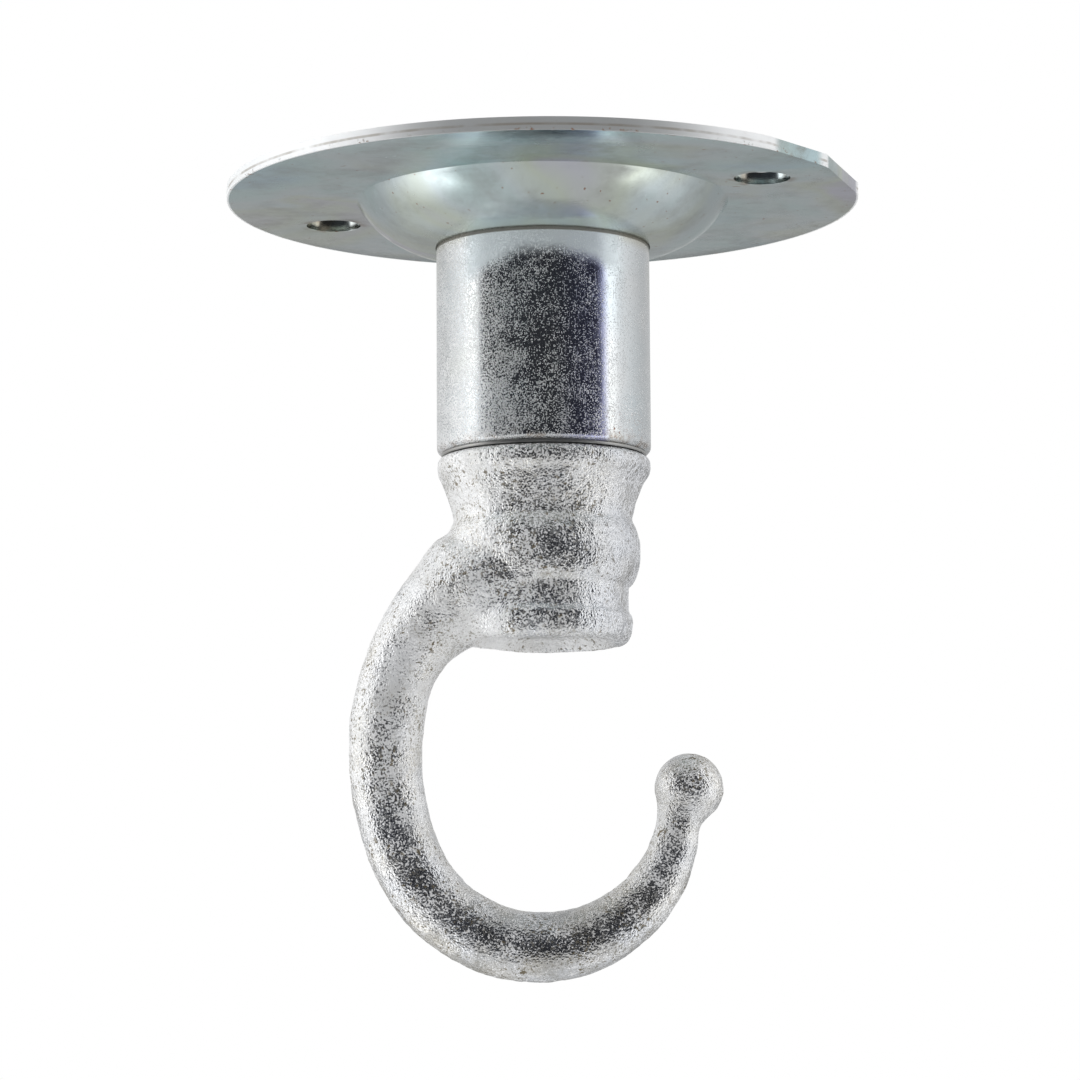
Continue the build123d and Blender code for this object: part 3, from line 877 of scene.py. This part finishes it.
class HOOK_OT_pin(bpy.types.Operator):
    """Turns the pivot pin with its domed head, and hammers its peened end"""

    bl_idname = "swivel_hook.pin"
    bl_label = "Pivot pin"

    def execute(self, context):
        sizes, colours = context.scene.hook_pin, context.scene.hook_finishes
        head, shank, spigot = PIN_HIGH.x, sizes.shank_radius, sizes.spigot_radius
        low, high = PIN_LOW.z, PIN_HIGH.z
        seat, peen = HEAD_WASHER_FOOT, PEEN_RADIUS
        washer = RETAINING_WASHER_TOP
        crown, cap = CROWN, high - washer
        crown_r = (head * head + crown * crown) / (2 * crown)
        cap_r = (peen * peen + cap * cap) / (2 * cap)
        outline = [(0.0, low)]
        for step in range(1, 13):
            out = head * step / 12
            outline.append((out, low + crown_r - sqrt(crown_r**2 - out**2)))
        outline += [(head, (seat + low + crown) / 2), (head, seat), (shank, seat), (shank, SLEEVE_LOW.z)]
        outline += [(spigot, SLEEVE_LOW.z), (spigot, washer), (peen, washer)]
        for step in range(11, -1, -1):
            out = peen * step / 12
            outline.append((out, high - cap_r + sqrt(cap_r**2 - out**2)))
        piece = spin_outline(draw_outline("pivot_pin_turned", outline), 96)
        apply_modifier(
            piece, "BEVEL", "edges", width=0.25 * MM, segments=3,
            limit_method="ANGLE", angle_limit=radians(40),
        )
        weigh(piece, "peened", lambda place: smoothly(washer + 0.3 * MM, washer + 0.9 * MM, place.z))
        apply_modifier(
            piece, "DISPLACE", "hammering", texture_coords="LOCAL",
            texture=unevenness("hammering", "VORONOI", 2.6 * MM),
            strength=-sizes.hammering, mid_level=0.0, vertex_group="peened", direction="Z",
        )
        piece.vertex_groups.clear()
        finish_piece(piece, "mount", "pivot_pin", steel_of(colours), 40)
        return {"FINISHED"}


def steel_of(colours):
    """The plain steel finish, made once."""
    return bpy.data.materials.get("plain_steel") or plain_steel_finish(colours)


class HOOK_OT_washers(bpy.types.Operator):
    """Gives the three washers their plain steel"""

    bl_idname = "swivel_hook.washers"
    bl_label = "Washers"

    def execute(self, context):
        steel = steel_of(context.scene.hook_finishes)
        for name in ("thrust_washer", "retaining_washer", "head_washer"):
            washer = frame["nodes"][name]
            washer.data.materials.clear()
            washer.data.materials.append(steel)
        return {"FINISHED"}


# ---------------------------------------------------------------- the stage


def world_light():
    """A plain pale surround, with a dark card in front of the hook and bright strips beside the card."""
    world = bpy.data.worlds.new("surround")
    bpy.context.scene.world = world
    finish = Finish(world)
    way = finish.place("Generated")
    x, y, z = finish.parts_of(way)
    level = finish.from_axis(way).more_of(0.001)
    front = 0.0 - y / level
    inward = front - x.between(0.0, 0.6) * 0.09
    card = inward.between(0.23, 0.38) * z.between(0.80, 0.60) * z.between(-0.66, -0.50)
    hot = inward.between(0.33, 0.21) * inward.between(-0.12, 0.10)
    hot = hot * z.between(0.9, 0.7) * z.between(-0.9, -0.7)
    left = x.between(0.0, -0.3)
    beside = front.between(-0.80, 0.0) * inward.between(0.38, 0.23)
    beside = beside * z.between(0.9, 0.7) * z.between(-0.9, -0.7)
    behind_low = front.between(-0.1, -0.5) * z.between(0.06, -0.02) * z.between(-0.6, -0.35)
    overhead = z.between(0.6, 0.9)
    below = z.between(-0.40, -0.66)
    glow = 0.60 + left * 0.05 + beside * (0.36 + left * 0.36) + below * 0.02
    glow = glow - overhead * 0.14 - behind_low * 0.19 + hot * 0.62
    path = finish.node("ShaderNodeLightPath").outputs
    seen = Signal(finish, path["Is Camera Ray"])
    through = (Signal(finish, path["Is Glossy Ray"]) + Signal(finish, path["Is Transmission Ray"])).clamped()
    card = card * (0.15 + through * 0.85)
    glow = glow * (1.0 - card * 0.945)
    shade = finish.blend(card, (1.0, 1.0, 1.0), (0.80, 0.84, 1.0))
    strength = seen + glow * (1.0 - seen)
    shade = finish.blend(seen, shade, (1.0, 1.0, 1.0))
    light = finish.node("ShaderNodeBackground", None, {"Color": shade, "Strength": strength})
    finish.node("ShaderNodeOutputWorld", None, {"Surface": light.outputs[0]})


def floor_finish():
    """A plain pale floor that is seen only from above."""
    material, finish = new_finish("pale_floor")
    place = finish.place()
    mottle = finish.noise(place, 40.0, detail=3.0).between(0.3, 0.7, 0.0, 1.0)
    pale = finish.blend(mottle, (0.90, 0.90, 0.90), (0.93, 0.93, 0.93))
    matt = finish.node("ShaderNodeBsdfPrincipled", None, {"Base Color": pale, "Roughness": 0.9})
    glow = finish.node("ShaderNodeEmission", None, {"Color": (1.0, 1.0, 1.0), "Strength": 1.0})
    seen = finish.node("ShaderNodeLightPath").outputs
    lift = Signal(finish, seen["Is Camera Ray"]) * 0.45
    both = finish.node("ShaderNodeMixShader", None, {0: lift, 1: matt.outputs[0], 2: glow.outputs[0]})
    gone = finish.node("ShaderNodeBsdfTransparent")
    under = finish.node("ShaderNodeNewGeometry").outputs["Backfacing"]
    shown = finish.node("ShaderNodeMixShader", None, {0: under, 1: both.outputs[0], 2: gone.outputs[0]})
    finish.node("ShaderNodeOutputMaterial", None, {"Surface": shown.outputs[0]})
    return material


class HOOK_OT_stage(bpy.types.Operator):
    """Sets the camera, the pale floor and the soft light"""

    bl_idname = "swivel_hook.stage"
    bl_label = "Stage"

    def execute(self, context):
        sizes = context.scene.hook_stage
        context.scene.view_settings.view_transform = "Standard"
        deselect()
        level_to_lens = Matrix.Rotation(pi / 2 + sizes.camera_pitch, 3, "X")
        bpy.ops.object.camera_add(
            location=(sizes.camera_aside, -sizes.camera_distance, sizes.camera_height),
            rotation=(level_to_lens @ Matrix.Rotation(sizes.camera_roll, 3, "Z")).to_euler(),
        )
        camera = context.active_object
        camera.name = "camera"
        camera.data.lens, camera.data.sensor_width = sizes.lens, 36.0
        camera.data.clip_start, camera.data.clip_end = 0.01, 50.0
        context.scene.camera = camera
        deselect()
        bpy.ops.mesh.primitive_circle_add(
            vertices=96, radius=2.5, fill_type="NGON", location=(0.0, 0.0, sizes.floor_height)
        )
        floor = context.active_object
        floor.name = "pale_floor"
        bpy.ops.object.transform_apply(location=True, rotation=True, scale=True)
        floor.data.materials.append(floor_finish())
        floor.visible_glossy = False
        for name, place, size, power in LAMPS:
            deselect()
            aim = Vector((0.0, 0.0, -0.045)) - Vector(place)
            turned = aim.to_track_quat("-Z", "Y").to_euler()
            bpy.ops.object.light_add(type="AREA", location=place, rotation=turned)
            lamp = context.active_object
            lamp.name = name
            lamp.data.shape, lamp.data.size, lamp.data.energy = "DISK", size, power
            lamp.visible_glossy = False
        world_light()
        return {"FINISHED"}


# ---------------------------------------------------------------- the add-on

PIECES = (HOOK_OT_plate, HOOK_OT_sleeve, HOOK_OT_casting, HOOK_OT_pin, HOOK_OT_washers, HOOK_OT_stage)
SIZES = {
    "hook_plate": PlateSizes,
    "hook_sleeve": SleeveSizes,
    "hook_casting": HookSizes,
    "hook_pin": PinSizes,
    "hook_finishes": Finishes,
    "hook_stage": StageSizes,
}


class HOOK_PT_panel(bpy.types.Panel):
    """The sizes and colours of the hook, and the buttons that make its pieces"""

    bl_idname = "HOOK_PT_panel"
    bl_label = "Swivel ceiling hook"
    bl_space_type = "VIEW_3D"
    bl_region_type = "UI"
    bl_category = "Hook"

    def draw(self, context):
        for name, group in SIZES.items():
            box = self.layout.box()
            for key in group.__annotations__:
                box.prop(getattr(context.scene, name), key)
        for piece in PIECES:
            self.layout.operator(piece.bl_idname)


def register():
    for group in SIZES.values():
        bpy.utils.register_class(group)
    for name, group in SIZES.items():
        setattr(bpy.types.Scene, name, PointerProperty(type=group))
    for piece in (*PIECES, HOOK_PT_panel):
        bpy.utils.register_class(piece)


def unregister():
    for piece in reversed((*PIECES, HOOK_PT_panel)):
        bpy.utils.unregister_class(piece)
    for name, group in SIZES.items():
        delattr(bpy.types.Scene, name)
        bpy.utils.unregister_class(group)


def main():
    register()
    bpy.ops.swivel_hook.stage()
    bpy.ops.swivel_hook.plate()
    bpy.ops.swivel_hook.sleeve()
    bpy.ops.swivel_hook.casting()
    bpy.ops.swivel_hook.pin()
    bpy.ops.swivel_hook.washers()


if __name__ == "__main__":
    main()
